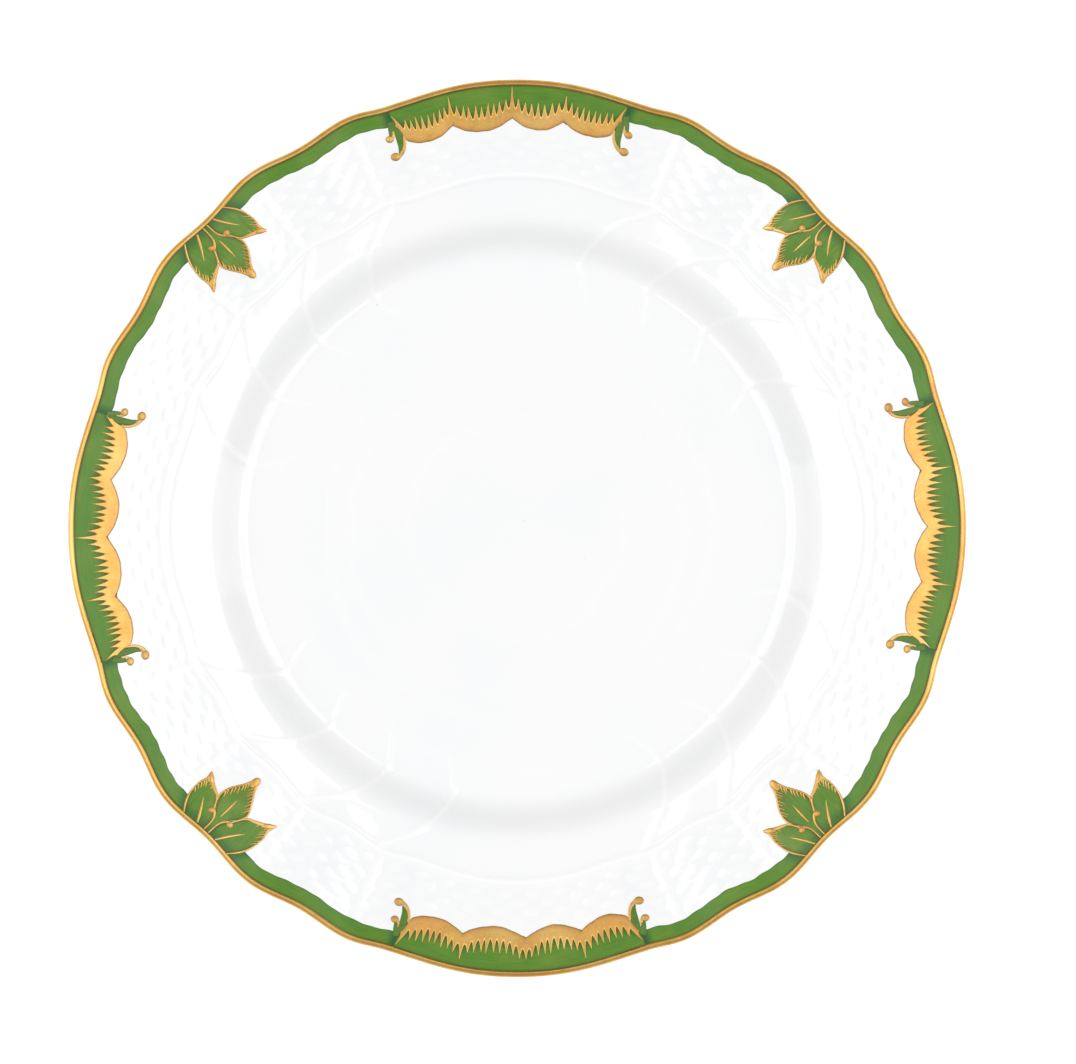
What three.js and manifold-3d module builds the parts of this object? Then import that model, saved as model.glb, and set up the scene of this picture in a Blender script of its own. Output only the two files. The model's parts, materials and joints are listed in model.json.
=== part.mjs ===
// A lobed china dinner plate: one fired porcelain body, with green enamel fields
// and gold ornament fired onto its rim. Millimetres, +Z up, origin at the middle
// of the foot ring on the surface that the plate stands on.
import * as THREE from "three";
import { mergeVertices } from "three/addons/utils/BufferGeometryUtils.js";
import Module from "manifold-3d";

const wasm = await Module();
wasm.setup();

// Body
const plateRadius = 127.5; // centre to the crown of a wide lobe, gold line included
const plateHeight = 24; // surface to the top of the gold line
const wellRadius = 77.5; // flat floor of the well
const cavettoRun = 11.5; // from the well out to the rim
const cavettoRise = 8.4; // from the well up to the rim
const floorThickness = 4; // under the well
const rimThickness = 3.4; // where the rim leaves the cavetto
const lipRadius = 1.2; // rounding of the lip
const lipSlope = 0.23; // rise over run at the lip
const footHeight = 4.6; // foot ring, surface to the underside of the well
const footTread = 3; // flat that meets the surface
const footSetIn = 3.6; // from the well's edge in to the middle of the tread
const footTaper = 1.1; // each side of the foot widens by this at its root
const footChamfer = 0.5;
const undersideShift = 2.4; // how far the cavetto's outside lies out from its inside

// Turning points of the wavy edge, as angles from the middle of a panel and depths below its crown
const wideLobeEnd = 17.3;
const wideDipDepth = 2;
const firstCrestAngle = 22.2;
const firstCrestDepth = 1.1;
const smallLobeSplit = 29.8;
const splitDipDepth = 2.8;
const secondCrestAngle = 37.3;
const secondCrestDepth = 1.1;
const panelEnd = 45;
const endDipDepth = 2.7;
const crownPower = 1.35; // over 1 flattens the crown of the wide lobe
const lobeFadeRun = 15; // the lobes have died away this far inside the moulded zone
const lobeFullInset = 23; // and are at full depth from the edge to here

// Layers on the rim
const gap = 0.3; // between any two pieces
const lineGap = 0.45; // from the gold line to the green, which also takes up the flats of the edge
const enamelThickness = 0.3;
const goldThickness = 0.3;
const goldLineWidth = 1.7;
const bandInset = 5.8; // edge to the inner side of the green band
const goldLineTop = 65; // where its flat meets the rounding of the lip, in degrees from the lip's slope
const goldLineWrap = -20; // how far round the lip the gold line goes, in degrees

// Comb of a shell panel, by angle from the panel's middle
const combEnd = 16.3;
const cuspAngle = 8.2;
const middleCuspInset = 11.8;
const sideCuspInset = 11;
const endCuspInset = 8.5;
const innerScallopDepth = 2.8;
const outerScallopDepth = 4;
const combWidth = 3.7; // solid gold below the teeth
const toothLength = 3.4;
const teethPerScallop = 7;
const spikeClearance = 0.5; // from a long spike's tip to the gold line
const sideSpikeClearance = 1.1;
const underCombLap = 1.2; // how far the green runs in under the comb

// Tendrils at a shell's ends, from its end angle: x away from the shell, y in from the edge
const tendrilRootX = 1.7;
const tendrilWidth = 1.4;
const longBudX = 3.2;
const longBudInset = 15.4;
const longBudRadius = 1.15;
const shortBudX = 4.5;
const shortBudInset = 9.8;
const shortBudRadius = 1.05;

// Leaf spray, from the middle of its base: x along the edge, y in from the edge
const leafHalfBase = 7.65;
const leafBaseGap = 0.2; // further in than the green to the base of the leaves
const leafShoulderX = 10.4; // half width of the spray level with the band's inner side
const middleTipInset = 21.6;
const sideTipX = 11.4;
const sideTipInset = 15.6;
const notchX = 4.5;
const notchInset = 10;
const veinWidth = 0.7;
const marginWidth = 0.9;
const tipWidth = 1.2;
const voluteHeadRadius = 0.85;

const quarterTurn = Math.PI / 2;
const radians = Math.PI / 180;
const columnsPerWideLobe = 4;
const columnsPerTurn = 3;
const capSegments = 6;
const leastColumn = 0.4; // degrees between two columns of a patch

const bodyEdge = plateRadius - gap - goldThickness;
const lipTilt = Math.atan(lipSlope);
const rimStart = wellRadius + cavettoRun;
const rimEnd = bodyEdge - lipRadius * (1 + Math.sin(lipTilt));
const floorTop = footHeight + floorThickness;
const rimStartHeight = floorTop + cavettoRise;
const lipCentreHeight = plateHeight - goldThickness - gap - lipRadius;
const rimEndHeight = lipCentreHeight + lipRadius * Math.cos(lipTilt);
const rimRun = rimEnd - rimStart;
const rimStartSlope = (2 * (rimEndHeight - rimStartHeight)) / rimRun - lipSlope;
const enamelLift = gap;
const goldLift = gap + enamelThickness + gap;

const porcelainWhite = new THREE.MeshStandardMaterial({ color: 0xf7f7f6, roughness: 0.12, metalness: 0 });
const enamelGreen = new THREE.MeshStandardMaterial({ color: 0x5b8a3a, roughness: 0.25, metalness: 0 });
const leafGreen = new THREE.MeshStandardMaterial({ color: 0x6b8b40, roughness: 0.25, metalness: 0 });
const burnishedGold = new THREE.MeshStandardMaterial({ color: 0xd9a552, roughness: 0.35, metalness: 0.9 });

// The angle from the middle of the nearest panel, in degrees from 0 to 45.
function panelAngle(angle) {
  const turned = angle / quarterTurn;
  return Math.abs(turned - Math.round(turned)) * 90;
}

const turningPoints = [
  [0, 0],
  [wideLobeEnd, wideDipDepth],
  [firstCrestAngle, firstCrestDepth],
  [smallLobeSplit, splitDipDepth],
  [secondCrestAngle, secondCrestDepth],
  [panelEnd, endDipDepth],
];

// How far the edge lies inside the plate's radius: a smooth wave from each turning point
// to the next, as (1 - cos(pi t)) / 2, with t drawn out by a power beside the wide crown.
function lobeDepth(angle) {
  const a = panelAngle(angle);
  const next = Math.max(1, turningPoints.findIndex(([turn]) => a <= turn));
  const [fromAngle, fromDepth] = turningPoints[next - 1];
  const [toAngle, toDepth] = turningPoints[next];
  const t = THREE.MathUtils.clamp((a - fromAngle) / (toAngle - fromAngle), 0, 1);
  const eased = (1 - Math.cos(Math.PI * t ** (next === 1 ? crownPower : 1))) / 2;
  return THREE.MathUtils.lerp(fromDepth, toDepth, eased);
}

// The share of the lobes' depth that a circle of this radius takes.
function lobeShare(radius) {
  const full = plateRadius - lobeFullInset;
  return THREE.MathUtils.smoothstep(radius, full - lobeFadeRun, full);
}

function edgeRadius(angle) {
  return plateRadius - lobeDepth(angle);
}

// Where a circle of this radius passes at this angle once it is lobed.
function lobedRadius(radius, angle) {
  return radius - lobeDepth(angle) * lobeShare(radius);
}

// The circle that passes through a lobed place, found by repeated correction.
function circleThrough(lobed, angle) {
  let radius = lobed;
  for (let pass = 0; pass < 8; pass++) {
    radius = lobed + lobeDepth(angle) * lobeShare(radius);
  }
  return radius;
}

// A cubic from one height and slope to another.
function easeHeight(run, x, startHeight, startSlope, endHeight, endSlope) {
  const t = x / run;
  const a = (1 + 2 * t) * (1 - t) ** 2;
  const b = t * (1 - t) ** 2 * run;
  const c = t ** 2 * (3 - 2 * t);
  const d = t ** 2 * (t - 1) * run;
  return a * startHeight + b * startSlope + c * endHeight + d * endSlope;
}

// Upper surface: flat well, S-shaped cavetto, then a rim that steepens to the lip.
function topHeight(radius) {
  if (radius <= wellRadius) {
    return floorTop;
  }
  if (radius <= rimStart) {
    return easeHeight(cavettoRun, radius - wellRadius, floorTop, 0, rimStartHeight, rimStartSlope);
  }
  const inward = rimEnd - radius;
  const bend = (rimStartHeight - rimEndHeight + lipSlope * rimRun) / rimRun ** 2;
  return rimEndHeight - lipSlope * inward + bend * inward ** 2;
}

// Rim thickness, which thins evenly from the cavetto to the lip.
function rimWall(radius) {
  const t = (radius - rimStart) / rimRun;
  return THREE.MathUtils.lerp(rimThickness, (2 * lipRadius) / Math.cos(lipTilt), t);
}

const undersideRimStart = rimStart + undersideShift;
const footMiddle = wellRadius - footSetIn;
const footOuter = footMiddle + footTread / 2;
const footInner = footMiddle - footTread / 2;
const footRootOuter = footOuter + footTaper;

// Underside from the foot's root to the lip.
function undersideHeight(radius) {
  if (radius >= undersideRimStart) {
    return topHeight(radius) - rimWall(radius);
  }
  const endHeight = topHeight(undersideRimStart) - rimWall(undersideRimStart);
  const run = undersideRimStart - footRootOuter;
  return easeHeight(run, radius - footRootOuter, footHeight, 0, endHeight, rimStartSlope);
}

// Even steps from one radius to another, both ends included.
function steps(from, to, count) {
  return Array.from({ length: count + 1 }, (_, i) => from + ((to - from) * i) / count);
}

const lipCentre = new THREE.Vector2(
  rimEnd + lipRadius * Math.sin(lipTilt),
  rimEndHeight - lipRadius * Math.cos(lipTilt),
);

// Points round the lip's centre, by angle in degrees above the level outward direction.
function aroundLip(radius, fromDegrees, toDegrees, count) {
  return steps(fromDegrees, toDegrees, count).map((degrees) => {
    const direction = new THREE.Vector2(Math.cos(degrees * radians), Math.sin(degrees * radians));
    return lipCentre.clone().addScaledVector(direction, radius);
  });
}

// The angle of each column round the plate: a few between any two turning points of the
// edge, so that each dip and crest has a column of its own.
function columnAngles() {
  const turns = turningPoints.map(([turn]) => turn);
  const half = turns.slice(1)
    .flatMap((to, k) => steps(turns[k], to, k === 0 ? columnsPerWideLobe : columnsPerTurn).slice(0, -1));
  const mirrored = half.slice(1).map((a) => 2 * panelEnd - a).reverse();
  const quarter = [...half, panelEnd, ...mirrored];
  const angles = [0, 1, 2, 3].flatMap((k) => quarter.map((a) => a + 90 * k));
  return [...angles, 360].map((a) => a * radians);
}

const columns = columnAngles();

// A lathe whose columns stand at the lobes' angles and whose radii take the lobes.
function lobedLathe(profile) {
  const geometry = new THREE.LatheGeometry(profile, columns.length - 1);
  const position = geometry.attributes.position;
  for (let i = 0; i < position.count; i++) {
    const point = profile[i % profile.length];
    const column = Math.floor(i / profile.length);
    const angle = columns[column % (columns.length - 1)];
    const radius = lobedRadius(point.x, angle);
    position.setXYZ(i, radius * Math.cos(angle), radius * Math.sin(angle), point.y);
  }
  return geometry;
}

function porcelainBody() {
  const tiltDegrees = lipTilt / radians;
  const profile = [
    new THREE.Vector2(0, footHeight),
    new THREE.Vector2(footInner - footTaper, footHeight),
    new THREE.Vector2(footInner - footChamfer, footChamfer),
    new THREE.Vector2(footInner, 0),
    new THREE.Vector2(footOuter, 0),
    new THREE.Vector2(footOuter + footChamfer, footChamfer),
    ...steps(footRootOuter, undersideRimStart, 5).map((r) => new THREE.Vector2(r, undersideHeight(r))),
    ...steps(undersideRimStart, rimEnd, 5).slice(1, -1)
      .map((r) => new THREE.Vector2(r, undersideHeight(r))),
    ...aroundLip(lipRadius, tiltDegrees - 90, tiltDegrees + 90, 4),
    ...steps(rimEnd, rimStart, 6).slice(1).map((r) => new THREE.Vector2(r, topHeight(r))),
    ...steps(rimStart, wellRadius, 5).slice(1).map((r) => new THREE.Vector2(r, topHeight(r))),
    new THREE.Vector2(0, floorTop),
  ];
  return lobedLathe(profile);
}

// A thin cap of gold that runs over the top of the lip and just past its outside.
function goldEdgeLine() {
  const topDegrees = lipTilt / radians + goldLineTop;
  const inner = lipRadius + gap;
  const outer = inner + goldThickness;
  const lineStart = plateRadius - goldLineWidth;
  const underside = new THREE.Vector2(lineStart, topHeight(lineStart) + gap);
  const upperside = new THREE.Vector2(lineStart, topHeight(lineStart) + gap + goldThickness);
  const profile = [
    underside,
    ...aroundLip(inner, topDegrees, goldLineWrap, 2),
    ...aroundLip(outer, goldLineWrap, topDegrees, 3),
    upperside,
    underside.clone(),
  ];
  return lobedLathe(profile);
}

// Puts flat work onto the rim: x runs along the edge from an axis, y in from the edge,
// and z is height above the lift.
function layOnRim(geometry, axisAngle, lift) {
  const position = geometry.attributes.position;
  for (let i = 0; i < position.count; i++) {
    const inset = position.getY(i);
    const angle = axisAngle + Math.atan2(position.getX(i), edgeRadius(axisAngle) - inset);
    placeOnRim(position, i, angle, inset, lift + position.getZ(i));
  }
  return geometry;
}

function placeOnRim(position, i, angle, inset, height) {
  const radius = edgeRadius(angle) - inset;
  const z = topHeight(circleThrough(radius, angle)) + height;
  position.setXYZ(i, radius * Math.cos(angle), radius * Math.sin(angle), z);
}

// A patch between two outlines, each given as insets and angles with one pair per column.
function rimPatch(angles, outerInset, innerInset, rows, thickness, lift, innerAngles = angles) {
  const count = angles.length - 1;
  const geometry = new THREE.BoxGeometry(1, 1, 1, count, rows, 1);
  const position = geometry.attributes.position;
  for (let i = 0; i < position.count; i++) {
    const column = Math.round((0.5 - position.getX(i)) * count);
    const inward = 0.5 - position.getY(i);
    const height = lift + (position.getZ(i) + 0.5) * thickness;
    const inset = THREE.MathUtils.lerp(outerInset[column], innerInset[column], inward);
    const angle = THREE.MathUtils.lerp(angles[column], innerAngles[column], inward);
    placeOnRim(position, i, angle, inset, height);
  }
  return geometry;
}

// Columns between two angles in degrees: both ends, any marks, and the plate's own columns
// that aren't right beside one of those.
function columnsBetween(fromDegrees, toDegrees, marks = []) {
  const fixed = [fromDegrees, ...marks, toDegrees];
  const own = columns
    .map((a) => a / radians)
    .flatMap((a) => [a, a - 360])
    .filter((a) => a > fromDegrees && a < toDegrees)
    .filter((a) => fixed.every((mark) => Math.abs(a - mark) > leastColumn));
  return [...fixed, ...own].sort((a, b) => a - b).map((a) => a * radians);
}

// The comb's scalloped inner side: a parabola between each two cusps.
function scallopInset(degrees) {
  const a = Math.abs(degrees);
  if (a <= cuspAngle) {
    const t = a / cuspAngle;
    return THREE.MathUtils.lerp(middleCuspInset, sideCuspInset, t) + 4 * innerScallopDepth * t * (1 - t);
  }
  const t = Math.min((a - cuspAngle) / (combEnd - cuspAngle), 1);
  return THREE.MathUtils.lerp(sideCuspInset, endCuspInset, t) + 4 * outerScallopDepth * t * (1 - t);
}

// The green of a shell panel, from the gold line to just under the comb.
function shellField() {
  const half = [cuspAngle / 2, cuspAngle, (cuspAngle + combEnd) / 2];
  const angles = columnsBetween(-combEnd, combEnd, [0, ...half, ...half.map((a) => -a)]);
  const outer = angles.map(() => goldLineWidth + lineGap);
  const inner = angles.map((a) => scallopInset(a / radians) - underCombLap);
  return rimPatch(angles, outer, inner, 3, enamelThickness, enamelLift);
}

// Teeth stand on the comb as a zigzag, and a longer spike stands at each cusp.
function goldComb() {
  const perScallop = 2 * (teethPerScallop + 1);
  const half = [
    ...steps(0, cuspAngle, perScallop),
    ...steps(cuspAngle, combEnd, perScallop).slice(1),
  ];
  const degrees = [...half.slice(1).map((a) => -a).reverse(), ...half];
  const middle = 2 * perScallop;
  const spikeTip = goldLineWidth + lineGap + spikeClearance;
  const tips = degrees.map((a, i) => {
    const fromMiddle = Math.abs(i - middle);
    const root = scallopInset(a) - combWidth;
    if (fromMiddle === 0) {
      return spikeTip;
    }
    if (fromMiddle % perScallop === 0) {
      return spikeTip + sideSpikeClearance;
    }
    return fromMiddle % 2 === 0 ? root - toothLength : root;
  });
  const inner = degrees.map((a) => scallopInset(a));
  return rimPatch(degrees.map((a) => a * radians), tips, inner, 1, goldThickness, goldLift);
}

// The band between a shell's end and a leaf spray, whose shoulder its end leans away from.
function greenBand(side) {
  const from = combEnd + gap / edgeRadius(wideLobeEnd * radians) / radians;
  const leafAngle = (x) => (x + gap) / (edgeRadius(panelEnd * radians) - bandInset) / radians;
  const outerTo = panelEnd - leafAngle(leafHalfBase);
  const innerTo = panelEnd - leafAngle(leafShoulderX);
  const outerAngles = columnsBetween(from, outerTo);
  const innerAngles = outerAngles.map((a) => Math.min(a, innerTo * radians));
  const count = outerAngles.length - 1;
  innerAngles[count - 1] = (innerAngles[count - 2] + innerAngles[count]) / 2;
  const outer = outerAngles.map(() => goldLineWidth + lineGap);
  const inner = outerAngles.map(() => bandInset);
  if (side > 0) {
    return rimPatch(outerAngles, outer, inner, 1, enamelThickness, enamelLift, innerAngles);
  }
  const mirrored = (list) => list.map((a) => -a).reverse();
  const starts = mirrored(outerAngles);
  return rimPatch(starts, outer, inner, 1, enamelThickness, enamelLift, mirrored(innerAngles));
}

// A flat stroke along a curve of x and y, tapering from one width to another.
function stroke(points, startWidth, endWidth, count) {
  const curve = new THREE.SplineCurve(points.map(([x, y]) => new THREE.Vector2(x, y)));
  const left = [];
  const right = [];
  for (let i = 0; i <= count; i++) {
    const t = i / count;
    const place = curve.getPoint(t);
    const along = curve.getTangent(t);
    const half = THREE.MathUtils.lerp(startWidth, endWidth, t) / 2;
    left.push(new THREE.Vector2(place.x - along.y * half, place.y + along.x * half));
    right.push(new THREE.Vector2(place.x + along.y * half, place.y - along.x * half));
  }
  return new THREE.Shape([...left, ...right.reverse()]);
}

function extrude(shape, thickness) {
  const options = { depth: thickness, bevelEnabled: false, curveSegments: capSegments };
  return new THREE.ExtrudeGeometry(shape, options);
}

function toSolid(geometry) {
  geometry.deleteAttribute("normal");
  geometry.deleteAttribute("uv");
  const merged = mergeVertices(geometry, 1e-4);
  const mesh = new wasm.Mesh({
    numProp: 3,
    vertProperties: merged.attributes.position.array,
    triVerts: new Uint32Array(merged.index.array),
  });
  return new wasm.Manifold(mesh);
}

function toGeometry(solid) {
  const mesh = solid.getMesh();
  const geometry = new THREE.BufferGeometry();
  geometry.setAttribute("position", new THREE.BufferAttribute(new Float32Array(mesh.vertProperties), 3));
  geometry.setIndex(new THREE.BufferAttribute(new Uint32Array(mesh.triVerts), 1));
  return geometry;
}

// Joins flat strokes of one thickness into one piece.
function joined(shapes, thickness) {
  const solids = shapes.map((shape) => toSolid(extrude(shape, thickness)));
  return toGeometry(solids.reduce((whole, next) => whole.add(next)));
}

const leafBase = goldLineWidth + lineGap + leafBaseGap;

// Middle leaflet: a narrow neck between the volutes, then a broad pointed blade.
function middleLeaflet() {
  const tipPull = middleTipInset - 3.6;
  const blade = new THREE.Shape();
  blade.moveTo(-0.45, leafBase);
  blade.lineTo(0.45, leafBase);
  blade.lineTo(0.5, 5.4);
  blade.quadraticCurveTo(0.9, 8, notchX - 1, notchInset - 0.6);
  blade.bezierCurveTo(notchX + 0.7, notchInset + 3, 2.6, tipPull, 0.15, middleTipInset);
  blade.lineTo(-0.15, middleTipInset);
  blade.bezierCurveTo(-2.6, tipPull, -notchX - 0.7, notchInset + 3, -notchX + 1, notchInset - 0.6);
  blade.quadraticCurveTo(-0.9, 8, -0.5, 5.4);
  blade.closePath();
  return extrude(blade, enamelThickness);
}

// Side leaflet: leans away from the middle one and leaves the room of a gap beside it.
function sideLeaflet(side) {
  const blade = new THREE.Shape();
  const x = (value) => side * value;
  blade.moveTo(x(0.9), leafBase);
  blade.lineTo(x(leafHalfBase), leafBase);
  blade.bezierCurveTo(x(leafShoulderX), 5, x(11.4), 9.6, x(sideTipX + 0.1), sideTipInset);
  blade.lineTo(x(sideTipX - 0.2), sideTipInset);
  blade.bezierCurveTo(x(8.6), 13, x(6.4), notchInset + 0.8, x(notchX + 0.3), notchInset - 0.7);
  blade.quadraticCurveTo(x(1.3), 7.4, x(0.9), 5.2);
  blade.closePath();
  return extrude(blade, enamelThickness);
}

// Gold over the leaves: margins, veins and a volute on each side, on one base stroke.
function leafTracery() {
  const start = leafBase + veinWidth / 2;
  const base = [[-leafHalfBase, start], [0, start], [leafHalfBase, start]];
  const shapes = [stroke(base, veinWidth, veinWidth, 2)];
  for (const side of [-1, 1]) {
    const at = (x, y) => [side * x, y];
    const tip = at(sideTipX, sideTipInset);
    const outerMargin = [at(leafHalfBase, start), at(10, 5.2), at(11.1, 9.6), tip];
    const innerMargin = [tip, at(8, 12.6), at(5.2, notchInset), at(3.6, 8), at(3.2, 6.9)];
    const head = new THREE.Shape();
    head.absarc(side * 3.2, 6.9, voluteHeadRadius, 0, 2 * Math.PI);
    shapes.push(
      stroke(outerMargin, veinWidth, tipWidth, 4),
      stroke(innerMargin, tipWidth, veinWidth, 5),
      stroke([at(3.2, 6.9), at(2, 7.3), at(0.9, 5.4), at(0.75, start)], marginWidth, veinWidth / 2, 4),
      stroke([at(3.9, start), at(5.3, 4.6), at(7.2, 8.2)], marginWidth, veinWidth / 2, 2),
      stroke([at(3.6, 8), at(4.7, 12), at(2.6, 17.4), at(0, middleTipInset)], veinWidth, tipWidth, 5),
      head,
    );
  }
  shapes.push(stroke([[0, 4.6], [0, 13.6]], 1.4 * marginWidth, veinWidth / 2, 1));
  return joined(shapes, goldThickness);
}

// Two stalks that leave one root just inside the green band: a long one that ends short of
// its bud, and a short one.
function tendril(side) {
  const root = bandInset + gap;
  const rootMiddle = new THREE.Vector2(tendrilRootX, root + tendrilWidth / 2);
  const longBud = new THREE.Vector2(longBudX, longBudInset);
  const shortBud = new THREE.Vector2(shortBudX, shortBudInset);
  const bend = new THREE.Vector2(tendrilRootX - 0.3, THREE.MathUtils.lerp(root, longBudInset, 0.5));
  const longEnd = shortOf(longBud, bend, longBudRadius + gap);
  const shortEnd = shortOf(shortBud, rootMiddle, shortBudRadius + gap);
  const place = (point) => [side * point.x, point.y];
  const longStalk = [new THREE.Vector2(tendrilRootX, root), bend, longEnd].map(place);
  const shortStalk = [rootMiddle, shortEnd].map(place);
  return joined([
    stroke(longStalk, tendrilWidth, 0.8 * tendrilWidth, 4),
    stroke(shortStalk, tendrilWidth / 2, tendrilWidth / 2, 2),
  ], enamelThickness);
}

// The place a distance short of a point on the way to it.
function shortOf(point, from, distance) {
  const back = from.clone().sub(point).setLength(distance);
  return point.clone().add(back);
}

function bud(x, inset, radius) {
  const head = new THREE.Shape();
  head.absellipse(x, inset, radius, radius * 0.85, 0, 2 * Math.PI);
  return extrude(head, goldThickness);
}

function named(name, geometry, material) {
  const mesh = new THREE.Mesh(geometry, material);
  mesh.name = name;
  return mesh;
}

const plate = new THREE.Group();
plate.add(named("porcelain_body", porcelainBody(), porcelainWhite));
plate.add(named("gold_edge_line", goldEdgeLine(), burnishedGold));

const panelNames = ["east", "north", "west", "south"];
const sprayNames = ["northeast", "northwest", "southwest", "southeast"];
const sides = [["left", 1], ["right", -1]]; // as seen from the middle of the plate

panelNames.forEach((panelName, k) => {
  const quarter = new THREE.Group();
  quarter.rotation.z = k * quarterTurn;
  quarter.add(named(`green_shell_${panelName}`, shellField(), enamelGreen));
  quarter.add(named(`gold_comb_${panelName}`, goldComb(), burnishedGold));

  for (const [sideName, side] of sides) {
    const place = `${panelName}_${sideName}`;
    const endAngle = side * combEnd * radians;
    const longBud = bud(side * longBudX, longBudInset, longBudRadius);
    const shortBud = bud(side * shortBudX, shortBudInset, shortBudRadius);
    quarter.add(named(`green_edge_band_${place}`, greenBand(side), enamelGreen));
    quarter.add(named(`green_tendril_${place}`, layOnRim(tendril(side), endAngle, enamelLift), leafGreen));
    quarter.add(named(`gold_long_bud_${place}`, layOnRim(longBud, endAngle, enamelLift), burnishedGold));
    quarter.add(named(`gold_short_bud_${place}`, layOnRim(shortBud, endAngle, enamelLift), burnishedGold));
  }

  const sprayName = sprayNames[k];
  const sprayAngle = panelEnd * radians;
  const middle = layOnRim(middleLeaflet(), sprayAngle, enamelLift);
  quarter.add(named(`leaflet_middle_${sprayName}`, middle, leafGreen));
  for (const [sideName, side] of sides) {
    const leaflet = layOnRim(sideLeaflet(side), sprayAngle, enamelLift);
    quarter.add(named(`leaflet_${sideName}_${sprayName}`, leaflet, leafGreen));
  }
  const tracery = layOnRim(leafTracery(), sprayAngle, goldLift);
  quarter.add(named(`gold_leaf_tracery_${sprayName}`, tracery, burnishedGold));
  plate.add(quarter);
});

export default plate;
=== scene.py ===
import json
import math
import bpy
import numpy as np
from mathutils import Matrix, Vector


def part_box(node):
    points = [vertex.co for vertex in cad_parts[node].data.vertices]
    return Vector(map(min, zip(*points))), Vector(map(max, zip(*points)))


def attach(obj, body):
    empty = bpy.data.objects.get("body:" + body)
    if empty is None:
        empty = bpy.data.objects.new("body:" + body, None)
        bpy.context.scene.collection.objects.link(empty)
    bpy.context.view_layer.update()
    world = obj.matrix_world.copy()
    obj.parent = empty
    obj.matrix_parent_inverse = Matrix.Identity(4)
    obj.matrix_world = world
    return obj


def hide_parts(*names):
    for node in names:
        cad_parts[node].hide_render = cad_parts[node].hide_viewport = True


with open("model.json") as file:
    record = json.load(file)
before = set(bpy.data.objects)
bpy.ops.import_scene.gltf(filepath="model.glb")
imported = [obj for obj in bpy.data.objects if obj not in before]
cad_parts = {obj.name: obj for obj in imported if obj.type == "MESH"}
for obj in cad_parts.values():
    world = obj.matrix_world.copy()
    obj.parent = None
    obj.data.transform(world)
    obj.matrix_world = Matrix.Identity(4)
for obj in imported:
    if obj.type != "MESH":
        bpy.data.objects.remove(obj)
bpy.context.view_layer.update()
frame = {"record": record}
mm = 0.001
rng = np.random.default_rng(11)  # hand variation, always drawn in the same order


def mountPlace(name):
    # where a mount of the frame stands, in millimetres
    found = [m for m in frame["record"]["mounts"] if m["name"] == name]
    return [value / mm for value in found[0]["pos_m"]]


# sizes that come from the frame, in millimetres
edgeBox = [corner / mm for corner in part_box("gold_edge_line")]
plateRadius = edgeBox[1].x
plateHeight = edgeBox[1].z
wellFloor = mountPlace("well_floor")[2]
footMiddle = mountPlace("foot_ring_tread")[0]

body = {  # millimetres, and the number of points in the ornamented rings
    "wellRadius": footMiddle + 3.6, "cavettoRun": 11.5, "cavettoRise": 8.4,
    "floorThickness": 4.0, "rimThickness": 3.4, "undersideShift": 2.4,
    "lipRadius": 1.3, "lipSlope": 0.23, "goldThickness": 0.06,
    "footTread": 3.0, "footTaper": 1.1, "footCorner": 0.45,
    "columns": 720, "columnRatio": 4, "ornamentInner": 62.0, "sparseSpacing": 0.8, "spacing": 0.46,
}
lobes = {  # turning points of the wavy edge: degrees from a panel's middle, and depth below its crown
    "angles": np.array([0.0, 17.3, 22.2, 29.8, 37.3, 45.0]),
    "depths": np.array([0.0, 1.97, 1.13, 2.83, 1.10, 2.72]),
    "crownPower": 1.35, "fullInset": 27.5, "fadeRun": 11.0,
}
relief = {  # moulded ornament of the rim and turning marks in the well: millimetres and degrees
    "weaveStart": 6.5, "weaveEnd": 25.2, "weaveCount": 80, "weaveHeight": 0.098, "rowPitch": 2.6,
    "beadLength": 0.56, "beadPower": 1.6, "shellRoom": 7.8, "shellEnd": (16.5, 19),
    "sprayStart": (38.5, 40.5), "sprayInset": (17, 20), "sprayWiden": 1.2,
    "lineInset": 26.8, "lineHeight": 0.26, "lineWidth": 0.62,
    "ribHeight": 0.24, "ribWidth": 0.62, "ribTurn": 9.0, "ribTurnRadius": 78.0,
    "ribOuter": 98.0, "ribInner": 64.5, "ribStarts": (22.5, 37.5, 52.5, 67.5),
    "fluteHeight": 0.05, "fluteWidth": 2.2, "crossHeight": 0.16, "crossWidth": 0.8,
    "crossAngles": (22.7, 37.5),
    # ringPaintedSheen: how strongly the rings' height lightens the glaze colour, a painted reflection
    "ringRadii": (69.0, 55.0, 48.0, 31.0), "ringHeight": 0.045, "ringPaintedSheen": 1.8,
}

rimStart = body["wellRadius"] + body["cavettoRun"]
footHeight = wellFloor - body["floorThickness"]
lipTilt = math.atan(body["lipSlope"])
bodyEdge = plateRadius - body["goldThickness"]
rimEnd = bodyEdge - body["lipRadius"] * (1 + math.sin(lipTilt))
rimStartHeight = wellFloor + body["cavettoRise"]
lipHeight = plateHeight - body["goldThickness"] - body["lipRadius"]
rimEndHeight = lipHeight + body["lipRadius"] * math.cos(lipTilt)
rimRun = rimEnd - rimStart
rimStartSlope = 2 * (rimEndHeight - rimStartHeight) / rimRun - body["lipSlope"]
lipCentre = np.array([rimEnd + body["lipRadius"] * math.sin(lipTilt), lipHeight])


def smooth(value, low, high):
    # 0 below low, 1 above high, and 3t^2 - 2t^3 between
    t = np.clip((value - low) / (high - low), 0, 1)
    return t * t * (3 - 2 * t)


def mix(a, b, t):
    # straight from a to b by the share t
    return a + (b - a) * t


def fromPanel(angle):
    # degrees to the middle of the nearest shell panel; there is one every 90
    turned = angle / (math.pi / 2)
    return np.abs(turned - np.round(turned)) * 90


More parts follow.
